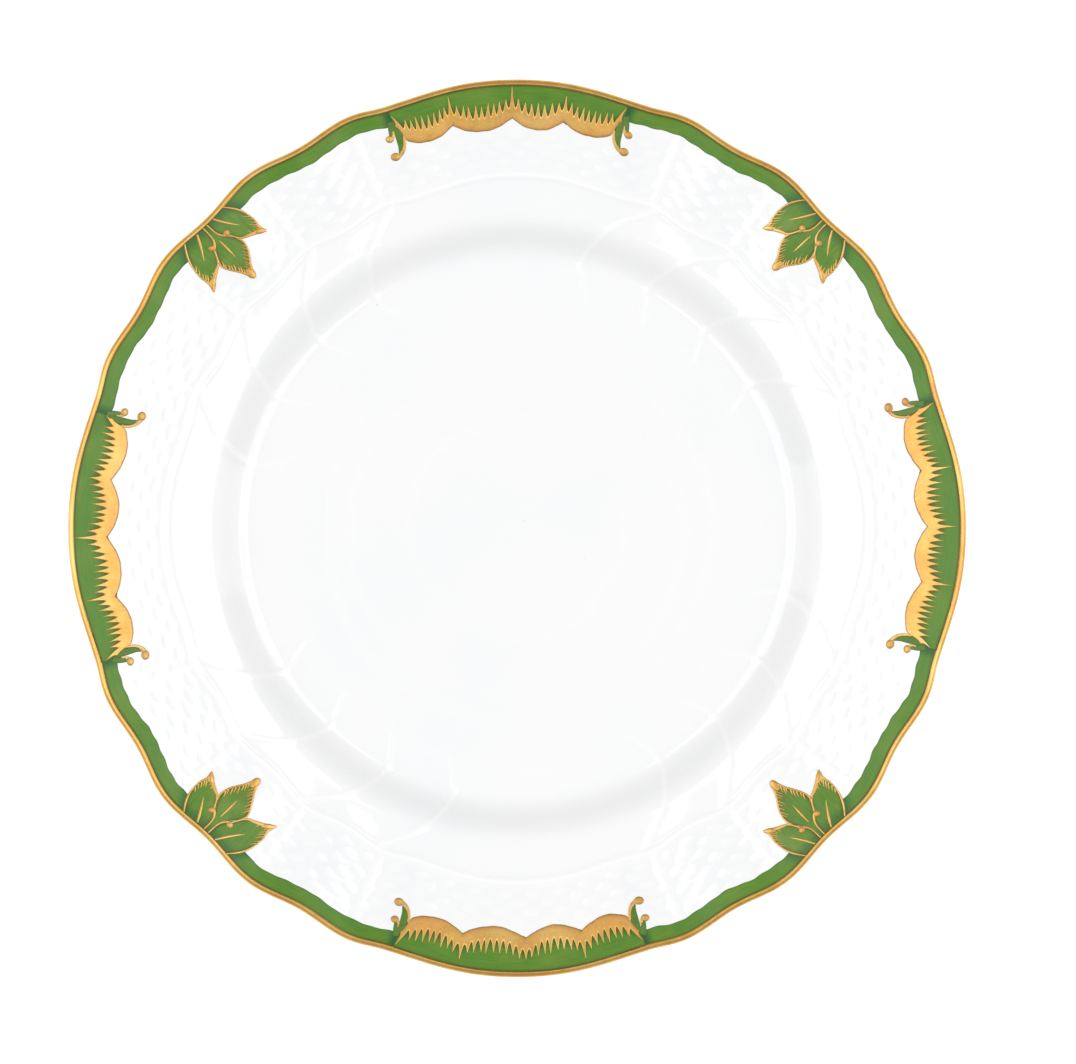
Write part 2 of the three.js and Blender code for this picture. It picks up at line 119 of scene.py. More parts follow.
def lobeDepth(angle):
    # from one turning point to the next as (1 - cos(pi t^p)) / 2, with p over 1 by the crown only
    a = fromPanel(angle)
    k = np.clip(np.searchsorted(lobes["angles"], a, "right") - 1, 0, len(lobes["angles"]) - 2)
    t = (a - lobes["angles"][k]) / (lobes["angles"][k + 1] - lobes["angles"][k])
    eased = (1 - np.cos(math.pi * t ** np.where(k == 0, lobes["crownPower"], 1.0))) / 2
    return mix(lobes["depths"][k], lobes["depths"][k + 1], eased)


def lobedRadius(radius, angle):
    # a circle of this radius takes the full lobes near the edge and none at the cavetto
    full = plateRadius - lobes["fullInset"]
    return radius - lobeDepth(angle) * smooth(radius, full - lobes["fadeRun"], full)


def easeHeight(run, x, startHeight, startSlope, endHeight, endSlope):
    # the cubic with those heights and slopes at its two ends
    t = x / run
    return ((1 + 2 * t) * (1 - t) ** 2 * startHeight + t * (1 - t) ** 2 * run * startSlope
            + t ** 2 * (3 - 2 * t) * endHeight + t ** 2 * (t - 1) * run * endSlope)


def sharpHeight(radius):
    # flat well, S-shaped cavetto, then a parabola that steepens to the lip
    cavetto = easeHeight(body["cavettoRun"], radius - body["wellRadius"], wellFloor, 0,
                         rimStartHeight, rimStartSlope)
    inward = rimEnd - radius
    bend = (rimStartHeight - rimEndHeight + body["lipSlope"] * rimRun) / rimRun ** 2
    rim = rimEndHeight - body["lipSlope"] * inward + bend * inward ** 2
    return np.where(radius <= body["wellRadius"], wellFloor, np.where(radius <= rimStart, cavetto, rim))


profileRadii = np.arange(0, rimEnd + 6, 0.1)
blurWeights = np.exp(-(np.arange(-50, 51) / 14) ** 2 / 2)  # a Gaussian over 14 of those steps
blurWeights = blurWeights / blurWeights.sum()
blurred = np.convolve(np.pad(sharpHeight(profileRadii), 50, "edge"), blurWeights, "valid")


def topHeight(radius):
    # the drawn profile softened by a Gaussian of 1.4 mm, and left as drawn on the rim
    soft = np.interp(radius, profileRadii, blurred)
    return mix(soft, sharpHeight(radius), smooth(radius, rimStart + 3, rimStart + 9))


def undersideHeight(radius, rootRadius):
    # the rim's underside is the top less a wall that thins to the lip; inside it a cubic to the foot
    def wall(r):
        return mix(body["rimThickness"], 2 * body["lipRadius"] / math.cos(lipTilt), (r - rimStart) / rimRun)

    start = rimStart + body["undersideShift"]
    endHeight = float(topHeight(np.array(start))) - wall(start)
    inner = easeHeight(start - rootRadius, radius - rootRadius, footHeight, 0, endHeight, rimStartSlope)
    return np.where(radius >= start, topHeight(radius) - wall(radius), inner)


def weaveHeight(angle, inset):
    # staggered rows of lens-shaped beads: height is (1 - |along|^1.6 - across^2)^0.5; the places
    # kept for painting, under the shells and the leaf sprays, are left smooth
    row = (inset - relief["weaveStart"]) / relief["rowPitch"]
    line = np.floor(row)
    across = 2 * np.mod(row, 1) - 1
    drift = 0.07 * np.sin(5 * angle + 2.3 * line) + 0.05 * np.sin(17 * angle + 1.1 * line)
    phase = np.mod(angle * relief["weaveCount"] / (2 * math.pi) + np.mod(line, 2) / 2 + drift, 1)
    along = np.abs(2 * phase - 1) / relief["beadLength"]
    bead = np.sqrt(np.clip(1 - along ** relief["beadPower"] - across ** 2, 0, 1))
    a = fromPanel(angle)
    start = relief["weaveStart"] + relief["shellRoom"] * (1 - smooth(a, *relief["shellEnd"]))
    shown = smooth(inset, start, start + 1)
    shown = shown * (1 - smooth(inset, relief["weaveEnd"] - 0.8, relief["weaveEnd"]))
    leafFoot, leafTip = (value + relief["sprayWiden"] * (a - 40) for value in relief["sprayInset"])
    shown = shown * (1 - smooth(a, *relief["sprayStart"]) * (1 - smooth(inset, leafFoot, leafTip)))
    return relief["weaveHeight"] * (bead - 0.45) * shown


def ribHeight(angle, radius):
    # sixteen thin ribs with Gaussian sides, each at its start angle plus turn * (1 - (|r - r0| / span)^1.5)
    span = relief["ribOuter"] - relief["ribTurnRadius"]
    turn = relief["ribTurn"] * (1 - (np.abs(radius - relief["ribTurnRadius"]) / span) ** 1.5)
    slope = relief["ribTurn"] * 1.5 * np.abs(radius - relief["ribTurnRadius"]) ** 0.5 / span ** 1.5
    steep = np.sqrt(1 + (np.radians(slope) * radius) ** 2)
    ends = smooth(radius, relief["ribInner"] - 1, relief["ribInner"] + 7)
    ends = ends * (1 - smooth(radius, relief["ribOuter"], relief["ribOuter"] + 3))
    total = np.zeros(np.broadcast(angle, radius).shape)
    for start in relief["ribStarts"]:
        offset = np.mod(np.degrees(angle) - start - turn + 45, 90) - 45
        away = np.radians(offset) * radius / steep
        total = total + np.exp(-(away / relief["ribWidth"]) ** 2)
    return relief["ribHeight"] * total * ends * (0.45 + 0.55 * smooth(radius, 70, 84))


def ringHeight(angle, radius):
    # low uneven turning marks in the well: Gaussians whose middles and strength wander round the plate
    rings = 0
    for k, middle in enumerate(relief["ringRadii"]):
        bent = middle + 0.9 * np.sin(3 * angle + 2 * k) + 0.5 * np.sin(7 * angle + k)
        rings = rings + np.exp(-((radius - bent) / 1.6) ** 2) * (0.6 + 0.4 * np.sin(2 * angle + k))
    return relief["ringHeight"] * rings


def reliefHeight(angle, radius):
    # all moulded ornament above the smooth top, by angle and unlobed radius: weave, ribs, rings, and
    # Gaussian ridges and grooves for the line, the flutes and the ridges between woven fields
    inset = plateRadius - radius
    away = (inset - relief["lineInset"]) / relief["lineWidth"]
    line = relief["lineHeight"] * (np.exp(-away ** 2) - 0.25 * np.exp(-(away - 2.1) ** 2))
    a = fromPanel(angle)
    flutes = np.zeros(np.broadcast(angle, radius).shape)
    for dip in lobes["angles"][1::2]:
        flutes = flutes - np.exp(-(np.radians(a - dip) * radius / relief["fluteWidth"]) ** 2)
    fluteShare = smooth(inset, 1.5, 7) * (1 - smooth(inset, 20, relief["lineInset"]))
    crossing = np.zeros(flutes.shape)
    for crest in relief["crossAngles"]:
        crossing = crossing + np.exp(-(np.radians(a - crest) * radius / relief["crossWidth"]) ** 2)
    crossShare = smooth(inset, 5, 8) * (1 - smooth(inset, relief["lineInset"] - 1.5, relief["lineInset"]))
    return (weaveHeight(angle, inset) + line + ribHeight(angle, radius) + ringHeight(angle, radius)
            + relief["fluteHeight"] * flutes * fluteShare
            + relief["crossHeight"] * crossing * crossShare)


def surfaceHeight(angle, radius):
    # the smooth top plus the ornament
    return topHeight(radius) + reliefHeight(angle, radius)


def gridFaces(rows, columns, wrap=False, offset=0):
    # quads of a grid whose points are numbered row by row; wrap joins the last column to the first
    i, j = np.meshgrid(np.arange(rows - 1), np.arange(columns if wrap else columns - 1), indexing="ij")
    k = np.mod(j + 1, columns)
    return offset + np.stack([i * columns + j, i * columns + k,
                              (i + 1) * columns + k, (i + 1) * columns + j], -1).reshape(-1, 4)


def outward(points, faces):
    # the sign of the volume tells which way the faces point
    total = 0.0
    for group in faces:
        for k in range(1, group.shape[1] - 1):
            a, b, c = points[group[:, 0]], points[group[:, k]], points[group[:, k + 1]]
            total += np.einsum("ij,ij->", a, np.cross(b, c))
    return faces if total > 0 else [group[:, ::-1] for group in faces]


def makePiece(name, points, faces, nodes, slot, fields):
    # one mesh object at the origin, with its fields as point attributes
    mesh = bpy.data.meshes.new(name)
    mesh.vertices.add(len(points))
    mesh.vertices.foreach_set("co", (points * mm).astype(np.float32).ravel())
    sizes = np.concatenate([np.full(len(group), group.shape[1]) for group in faces])
    loops = np.concatenate([group.ravel() for group in faces])
    mesh.loops.add(len(loops))
    mesh.loops.foreach_set("vertex_index", loops.astype(np.int32))
    mesh.polygons.add(len(sizes))
    mesh.polygons.foreach_set("loop_start", (np.cumsum(sizes) - sizes).astype(np.int32))
    mesh.polygons.foreach_set("use_smooth", np.ones(len(sizes), bool))
    mesh.update(calc_edges=True)
    mesh.validate()
    for field, values in fields.items():
        attribute = mesh.attributes.new(field, "FLOAT", "POINT")
        attribute.data.foreach_set("value", np.asarray(values, np.float32).ravel())
    mesh.materials.append(finishes[slot])
    piece = bpy.data.objects.new(name, mesh)
    bpy.context.collection.objects.link(piece)
    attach(piece, "root")
    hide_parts(*nodes)


def roundAngles(count):
    # evenly spaced angles once round, without the last
    return np.linspace(0, 2 * math.pi, count, endpoint=False)


def inSpace(angle, radius, height):
    # x, y and z from an angle, a radius and a height
    return np.stack([radius * np.cos(angle), radius * np.sin(angle), height], -1)


def onPlate(angle, inset, lift):
    # a place on the rim by angle and distance in from the lobed edge, raised by lift
    radius = plateRadius - lobeDepth(angle) - inset
    return inSpace(angle, radius, surfaceHeight(angle, plateRadius - inset) + lift)


def alongEdge(x, inset, axis):
    # the angle of a place x millimetres along the edge from an axis, at that inset
    return axis + np.arctan2(x, plateRadius - lobeDepth(np.array(axis)) - inset)


def layer(angle, inset, lift, sink):
    # closed skin over a grid: a raised top, the same grid sunk below it, and a wall round the side
    rows, columns = angle.shape
    top = onPlate(angle, inset, lift).reshape(-1, 3)
    under = onPlate(angle, inset, np.full(angle.shape, -sink)).reshape(-1, 3)
    count = rows * columns
    index = np.arange(count).reshape(rows, columns)
    ring = np.concatenate([index[0, :-1], index[:-1, -1], index[-1, :0:-1], index[:0:-1, 0]])
    after = np.roll(ring, -1)
    wall = np.stack([ring, after, after + count, ring + count], -1)
    faces = [gridFaces(rows, columns)[:, ::-1], gridFaces(rows, columns, offset=count), wall]
    points = np.concatenate([top, under])
    return points, outward(points, faces)


def onBothSides(fields):
    # values for the points of a layer: its top, then the sunk copy of it
    return {name: np.concatenate([values.ravel(), values.ravel()]) for name, values in fields.items()}


def smoothPath(points, count):
    # Catmull-Rom curve through the points at evenly spaced parameters
    points = np.asarray(points, float)
    padded = np.concatenate([2 * points[:1] - points[1:2], points, 2 * points[-1:] - points[-2:-1]])
    t = np.linspace(0, len(points) - 1, count)
    i = np.minimum(t.astype(int), len(points) - 2)
    f = (t - i)[:, None]
    a, b, c, d = padded[i], padded[i + 1], padded[i + 2], padded[i + 3]
    return 0.5 * (2 * b + (c - a) * f + (2 * a - 5 * b + 4 * c - d) * f ** 2
                  + (3 * b - a - 3 * c + d) * f ** 3)


def strokeShell(path, widths, axis, lift, rise, count=16, arcPoints=7, sink=0.1):
    # a half-round profile carried along a path of x and inset, with its width smoothed between the
    # given ones; the profile is cos and sin^0.7 of an angle from 0 to pi, closed under the surface
    line = smoothPath(path, count)
    width = smoothPath(np.array(widths, float)[:, None], count)[:, 0]
    along = np.gradient(line, axis=0)
    along /= np.linalg.norm(along, axis=1)[:, None]
    sideways = np.stack([-along[:, 1], along[:, 0]], -1)
    phase = np.linspace(0, math.pi, arcPoints)
    across = np.concatenate([np.cos(phase), [-1, 1]])
    height = np.concatenate([np.sin(phase) ** 0.7, [0, 0]])
    low = np.concatenate([np.zeros(arcPoints), [1, 1]])
    flat = line[:, None, :] + sideways[:, None, :] * (across[None, :, None] * width[:, None, None] / 2)
    fullness = np.clip(width / max(widths), 0.35, 1)[:, None]
    raised = (lift + rise * height * fullness) * (1 - low) - sink * low
    angle = alongEdge(flat[..., 0], flat[..., 1], axis)
    points = onPlate(angle, flat[..., 1], raised).reshape(-1, 3)
    ring = arcPoints + 2
    ends = [np.arange(ring)[::-1][None, :], np.arange(ring)[None, :] + (count - 1) * ring]
    rim = np.tile(np.concatenate([1 - np.sin(phase), [1, 1]]), count)
    return points, outward(points, [gridFaces(count, ring, wrap=True), *ends]), rim


def domeShell(centre, radii, axis, lift, rise, rings=6, spokes=18, sink=0.1):
    # a flattened dome: height is rise * sqrt(1 - r^2) over an ellipse, on a sunk flat base
    r = np.linspace(0, 1, rings + 1)[1:]
    phi = roundAngles(spokes)
    x = centre[0] + radii[0] * r[:, None] * np.cos(phi)
    y = centre[1] + radii[1] * r[:, None] * np.sin(phi)
    height = lift + rise * np.sqrt(np.clip(1 - r ** 2, 0, 1))[:, None] + 0 * x
    x = np.concatenate([x, x[-1:]])
    y = np.concatenate([y, y[-1:]])
    height = np.concatenate([height, np.full((1, spokes), -sink)])
    flat = np.concatenate([[[centre[0], centre[1], lift + rise]],
                           np.stack([x, y, height], -1).reshape(-1, 3),
                           [[centre[0], centre[1], -sink]]])
    points = onPlate(alongEdge(flat[:, 0], flat[:, 1], axis), flat[:, 1], flat[:, 2])
    i = np.arange(spokes)
    j = np.roll(i, -1)
    last = 1 + rings * spokes
    top = np.stack([np.zeros(spokes, int), 1 + i, 1 + j], -1)
    base = np.stack([np.full(spokes, last + spokes), last + j, last + i], -1)
    faces = [top, gridFaces(rings + 1, spokes, wrap=True, offset=1)[:, ::-1], base]
    rim = np.concatenate([[0], np.repeat(np.concatenate([r, [1]]), spokes), [1]])
    return points, outward(points, faces), rim


def joinShells(shells):
    # several closed shells as one set of points and faces, with their rim fields
    points, faces, rims, start = [], [], [], 0
    for shellPoints, shellFaces, rim in shells:
        points.append(shellPoints)
        faces.extend(group + start for group in shellFaces)
        rims.append(rim)
        start += len(shellPoints)
    return np.concatenate(points), faces, np.concatenate(rims)


class Wire:
    # one shader socket; sums and products of wires add Math nodes
    def __init__(self, finish, socket):
        self.finish = finish
        self.socket = socket

    def maths(self, operation, first, second):
        return self.finish.node("ShaderNodeMath", {"operation": operation}, {0: first, 1: second})

    def __add__(self, other):
        return self.maths("ADD", self, other)

    def __sub__(self, other):
        return self.maths("SUBTRACT", self, other)

    def __rsub__(self, other):
        return self.maths("SUBTRACT", other, self)

    def __mul__(self, other):
        return self.maths("MULTIPLY", self, other)

    __radd__ = __add__
    __rmul__ = __mul__


class Finish:
    # a material with one Principled shader
    def __init__(self, name):
        self.material = bpy.data.materials.new(name)
        self.material.use_nodes = True
        self.tree = self.material.node_tree
        self.shader = self.tree.nodes["Principled BSDF"]

    def node(self, kind, settings=None, inputs=None, output=0):
        made = self.tree.nodes.new(kind)
        for key, value in (settings or {}).items():
            setattr(made, key, value)
        for key, value in (inputs or {}).items():
            self.put(made.inputs[key], value)
        return Wire(self, made.outputs[output])

    def put(self, socket, value):
        if isinstance(value, Wire):
            self.tree.links.new(value.socket, socket)
        else:
            socket.default_value = value

    def set(self, **values):
        for key, value in values.items():
            self.put(self.shader.inputs[key.replace("_", " ")], value)

    def place(self):
        return self.node("ShaderNodeTexCoord", output=3)

    def field(self, name):
        return self.node("ShaderNodeAttribute", {"attribute_name": name}, output=2)

    def colour(self, first, second, factor):
        return self.node("ShaderNodeMix", {"data_type": "RGBA"}, {0: factor, 6: first, 7: second}, 2)

    def noise(self, place, scale, detail=3.0, roughness=0.5):
        return self.node("ShaderNodeTexNoise", None,
                         {"Vector": place, "Scale": scale, "Detail": detail, "Roughness": roughness})

    def spread(self, value, low, high, toLow=0.0, toHigh=1.0):
        return self.node("ShaderNodeMapRange", {"clamp": True},
                         {0: value, 1: low, 2: high, 3: toLow, 4: toHigh})

    def bump(self, height, distance, strength=1.0, normal=None):
        inputs = {"Height": height, "Distance": distance, "Strength": strength}
        if normal is not None:
            inputs["Normal"] = normal
        return self.node("ShaderNodeBump", None, inputs)


def makePorcelain():
    # white glaze, lighter over the raised relief and greyer in the hollows: partly the glaze thin on ridges
    # and pooled in hollows, partly painted highlight on the ridges and painted shade in the hollows; bare
    # clay on the tread
    f = Finish("glazedPorcelain")
    place = f.place()
    cloud = f.noise(place, 28.0, 2.0)
    glaze = f.colour((0.832, 0.836, 0.845, 1), (0.848, 0.848, 0.847, 1), f.spread(cloud, 0.35, 0.65))
    # the relief field (the ornament's height and the well's rings) sets a painted highlight on ridges and
    # painted shade in hollows, along with the glaze's real pooling
    thicknessAndShading = f.field("relief") + (f.noise(place, 420.0, 2.0) - 0.5) * 0.04
    pooledAndShaded = f.colour((0.812, 0.818, 0.830, 1), glaze, f.spread(thicknessAndShading, -0.1, 0.0))
    pooledAndShaded = f.colour(pooledAndShaded, (0.878, 0.878, 0.878, 1), f.spread(thicknessAndShading, 0.0, 0.24))
    speck = f.spread(f.noise(place, 760.0, 1.0), 0.835, 0.85)
    specked = f.colour(pooledAndShaded, (0.62, 0.58, 0.52, 1), speck * 0.5)
    biscuit = f.colour((0.70, 0.66, 0.60, 1), (0.80, 0.77, 0.72, 1), f.noise(place, 700.0, 4.0))
    bare = f.field("bare")
    f.set(Base_Color=f.colour(specked, biscuit, bare))
    smear = f.spread(f.noise(place, 60.0, 3.0), 0.3, 0.7, 0.05, 0.11)
    f.set(Roughness=smear + bare * 0.6)
    orange = f.bump(f.noise(place, 180.0, 2.0), 0.00002)
    grain = f.bump(f.noise(place, 2500.0, 3.0) * bare, 0.00006, normal=orange)
    f.set(Normal=grain)
    f.shader.inputs["IOR"].default_value = 1.55
    return f.material


def makeGold():
    # uneven warm gold that darkens and dulls towards its thin edges
    f = Finish("burnishedGold")
    place = f.place()
    wash = f.noise(place, 260.0, 4.0, 0.6)
    fine = f.noise(place, 1600.0, 3.0, 0.6)
    drift = f.noise(place, 42.0, 2.0)
    metal = f.colour((0.61, 0.345, 0.090, 1), (0.71, 0.435, 0.122, 1), f.spread(wash, 0.35, 0.68))
    metal = f.colour(metal, (0.82, 0.55, 0.20, 1), f.spread(drift, 0.52, 0.68, 0.0, 0.6))
    metal = f.colour(metal, (0.60, 0.28, 0.085, 1), f.spread(drift, 0.46, 0.34, 0.0, 0.55))
    warm = f.field("warm") + (wash - 0.5) * 0.8
    metal = f.colour(metal, (0.74, 0.31, 0.11, 1), f.spread(warm, 0.0, 1.0))
    thin = f.spread(f.field("rim") + (fine - 0.5) * 0.3, 0.1, 1.05)
    f.set(Base_Color=f.colour(metal, (0.30, 0.16, 0.035, 1), thin * 0.75))
    f.set(Metallic=1 - thin * 0.45)
    f.set(Roughness=f.spread(fine, 0.3, 0.7, 0.26, 0.37) + thin * 0.12)
    f.set(Normal=f.bump(wash * 0.6 + fine * 0.4, 0.00004))
    return f.material


enamels = {  # deep, middle and light green, olive by the gold, and dark green where it pools
    "greenEnamel": [(0.068, 0.182, 0.016, 1), (0.092, 0.218, 0.021, 1), (0.145, 0.255, 0.030, 1),
                    (0.075, 0.070, 0.008, 1), (0.010, 0.090, 0.028, 1)],
    "leafEnamel": [(0.070, 0.176, 0.016, 1), (0.102, 0.220, 0.022, 1), (0.190, 0.280, 0.050, 1),
                   (0.105, 0.090, 0.012, 1), (0.016, 0.100, 0.020, 1)],
}


def makeEnamel(name):
    # brushed enamel: streaks run with the brush, and the shade and pool fields say where it turns
    deep, middle, light, shade, pool = enamels[name]
    f = Finish(name)
    brush = f.node("ShaderNodeCombineXYZ", None, {0: f.field("along") * 0.16, 1: f.field("across") * 1.4})
    streak = f.noise(brush, 1.0, 4.0, 0.6)
    cloud = f.noise(f.place(), 95.0, 2.0)
    base = f.colour(deep, middle, f.spread(streak * 0.55 + cloud * 0.45, 0.3, 0.5))
    base = f.colour(base, light, f.spread(cloud * 0.65 + streak * 0.35, 0.5, 0.7))
    base = f.colour(base, pool, f.spread(f.field("pool") + (cloud - 0.5) * 0.3, 0.0, 1.0))
    f.set(Base_Color=f.colour(base, shade, f.spread(f.field("shade"), 0.0, 1.0)))
    f.set(Roughness=f.spread(streak, 0.3, 0.7, 0.16, 0.27))
    f.set(Normal=f.bump(streak * 0.7 + cloud * 0.3, 0.00005))
    f.shader.inputs["Specular IOR Level"].default_value = 0.3
    return f.material


finishes = {
    "porcelain": makePorcelain(), "gold": makeGold(),
    "green_enamel": makeEnamel("greenEnamel"), "leaf_enamel": makeEnamel("leafEnamel"),
}
print("finishes made")


def makeBody():
    # rings of points from the well's centre over the lip to the underside's centre; the ornamented
    # rings have fineColumns points and the plain ones a quarter of that, joined by seven-sided faces
    fineColumns = body["columns"]
    ratio = body["columnRatio"]
    coarseColumns = fineColumns // ratio
    fineInner = body["ornamentInner"]
    lipR = body["lipRadius"]
    weaveInner = plateRadius - relief["lineInset"] - 2
    footInner = footMiddle - body["footTread"] / 2
    footOuter = footMiddle + body["footTread"] / 2
    rootRadius = footOuter + body["footTaper"]

    fine = np.concatenate([np.arange(fineInner, weaveInner, body["sparseSpacing"]),
                           np.arange(weaveInner, rimEnd - 5, body["spacing"]),
                           np.linspace(rimEnd - 5, rimEnd, 6)])
    overLip = np.radians(np.linspace(90, -75, 10)[1:]) + lipTilt
    angle = roundAngles(fineColumns)
    radii, spin = np.meshgrid(fine, angle, indexing="ij")
    heights = surfaceHeight(spin, radii)
    ornament = reliefHeight(spin, radii)
    lipShape = (len(overLip), fineColumns)
    lipRadii = np.broadcast_to((lipCentre[0] + lipR * np.cos(overLip))[:, None], lipShape)
    lipHeights = np.broadcast_to((lipCentre[1] + lipR * np.sin(overLip))[:, None], lipShape)
    radii = np.concatenate([radii, lipRadii])
    heights = np.concatenate([heights, lipHeights])
    ornament = np.concatenate([ornament, np.zeros(lipShape)])
    spin = np.broadcast_to(angle, radii.shape)

    underRim = np.linspace(rimEnd + lipR * math.sin(lipTilt) * 2, rootRadius, 22)
    taper = body["footTaper"]
    corner = body["footCorner"]
    arc = np.radians(np.linspace(0, 90, 5))
    foot = np.concatenate([  # flared root, rounded corners and a flat tread
        [[footOuter + 0.62 * taper, footHeight - 0.35],
         [footOuter + 0.36 * taper, footHeight - 1.2],
         [footOuter + 0.18, corner + 0.9]],
        np.stack([footOuter - corner + corner * np.cos(arc), corner - corner * np.sin(arc)], -1),
        [[footMiddle, 0.0]],
        np.stack([footInner + corner - corner * np.sin(arc), corner - corner * np.cos(arc)], -1),
        [[footInner - 0.18, corner + 0.9],
         [footInner - 0.36 * taper, footHeight - 1.2],
         [footInner - 0.62 * taper, footHeight - 0.35],
         [footInner - 1.3 * taper, footHeight]],
    ])
    inner = np.stack([np.linspace(footInner - 3, 8, 8), np.full(8, footHeight)], -1)
    under = np.concatenate([np.stack([underRim, undersideHeight(underRim, rootRadius)], -1), foot, inner])
    well = np.stack([np.linspace(7, fineInner - 1.2, 44), np.full(44, wellFloor)], -1)

    def plainRings(profile):
        # radii, heights and angles of the same profile at every coarse column
        coarse = angle[::ratio]
        r = np.broadcast_to(profile[:, :1], (len(profile), coarseColumns))
        return r, np.broadcast_to(profile[:, 1:], r.shape), np.broadcast_to(coarse, r.shape)

    def toPoints(r, z, a):
        # places in space, with the lobes of the edge
        return inSpace(a, lobedRadius(r, a), z).reshape(-1, 3)

    wellRadii, wellHeights, wellSpin = plainRings(well)
    wellRings = ringHeight(wellSpin, wellRadii)
    wellPoints = toPoints(wellRadii, wellHeights + wellRings, wellSpin)
    finePoints = toPoints(radii, heights, spin)
    underPoints = toPoints(*plainRings(under))
    points = np.concatenate([[[0, 0, wellFloor]], wellPoints, finePoints, underPoints, [[0, 0, footHeight]]])
    wellAt = 1
    fineAt = wellAt + len(wellPoints)
    underAt = fineAt + len(finePoints)
    lastAt = underAt + len(underPoints)

    i = np.arange(coarseColumns)
    j = np.roll(i, -1)

    def bridge(coarseAt, fineRow):
        # each coarse side and the fine points that face it
        steps = [fineRow + np.mod(i * ratio + k, fineColumns) for k in range(ratio + 1)]
        return np.stack([coarseAt + j, coarseAt + i] + steps, -1)

    lastWell = fineAt - coarseColumns
    lastFine = underAt - fineColumns
    last = np.full(coarseColumns, lastAt)
    faces = [
        np.stack([np.zeros(coarseColumns, int), wellAt + i, wellAt + j], -1),
        gridFaces(len(well), coarseColumns, True, wellAt)[:, ::-1],
        bridge(lastWell, fineAt),
        gridFaces(len(radii), fineColumns, True, fineAt)[:, ::-1],
        bridge(underAt, lastFine)[:, ::-1],
        gridFaces(len(under), coarseColumns, True, underAt)[:, ::-1],
        np.stack([last, last - coarseColumns + j, last - coarseColumns + i], -1),
    ]
    reliefField = np.zeros(len(points))
    # the well's rings lighten the glaze colour: a painted reflection of the rings
    reliefField[wellAt:fineAt] = relief["ringPaintedSheen"] * wellRings.ravel()
    reliefField[fineAt:underAt] = ornament.ravel()
    bare = np.zeros(len(points))
    bare[underAt:lastAt] = np.repeat(1 - smooth(under[:, 1], 0.05, 0.35), coarseColumns)
    return points, outward(points, faces), {"relief": reliefField, "bare": bare}


points, faces, fields = makeBody()
makePiece("porcelainBody", points, faces, ["porcelain_body"], "porcelain", fields)
print("porcelain body made,", sum(len(f) * (f.shape[1] - 2) for f in faces), "triangles")


edgeLine = {  # millimetres and degrees; the green starts a little under the line, at paintStart
    "width": 1.7, "columns": 720, "wrap": -52, "wobble": 0.07, "waves": (3, 7, 16, 29),
    "flatPoints": 5, "lipPoints": 14, "sink": 0.1, "paintStart": 1.55,
}


def makeEdgeLine():
    # a profile of points round the lip, offset outwards by the gold and closed by a sunk copy; its
    # inner side is a sum of sines round the plate, about a tenth of a millimetre high
    angle = roundAngles(edgeLine["columns"])
    wobble = sum(edgeLine["wobble"] * rng.uniform(0.3, 1) * np.sin(k * angle + rng.uniform(0, 6.3))
                 for k in edgeLine["waves"])
    flat = np.linspace(edgeLine["width"], plateRadius - rimEnd, edgeLine["flatPoints"])[:-1]
    turn = np.radians(np.linspace(90, edgeLine["wrap"], edgeLine["lipPoints"])) + lipTilt

    def skin(lift):
        # radii and heights of the profile at this distance from the porcelain
        share = np.linspace(1, 0, len(flat))[:, None]
        r = plateRadius - flat[:, None] + share * wobble
        z = topHeight(r) + lift
        lipRadii = lipCentre[0] + (body["lipRadius"] + lift) * np.cos(turn)
        lipHeights = lipCentre[1] + (body["lipRadius"] + lift) * np.sin(turn)
        r = np.concatenate([r, np.repeat(lipRadii[:, None], len(angle), 1)])
        z = np.concatenate([z, np.repeat(lipHeights[:, None], len(angle), 1)])
        return r, z

    outerR, outerZ = skin(body["goldThickness"])
    innerR, innerZ = skin(-edgeLine["sink"])
    r = np.concatenate([outerR, innerR[::-1]])
    z = np.concatenate([outerZ, innerZ[::-1]])
    spin = np.broadcast_to(angle, r.shape)
    points = inSpace(spin, lobedRadius(r, spin), z).reshape(-1, 3)
    rows, columns = r.shape
    i = np.arange(columns)
    j = np.roll(i, -1)
    last = (rows - 1) * columns
    closing = np.stack([last + i, last + j, j, i], -1)
    faces = [gridFaces(rows, columns, True), closing]
    lipEnd = len(flat) + len(turn) - 1
    rim = np.zeros(rows)
    rim[:2] = (1.0, 0.55)
    rim[lipEnd] = 0.9
    rim[lipEnd + 1:] = 1
    return points, outward(points, faces), {"rim": np.repeat(rim, columns)}


points, faces, fields = makeEdgeLine()
makePiece("goldEdgeLine", points, faces, ["gold_edge_line"], "gold", fields)
print("gold edge line made")


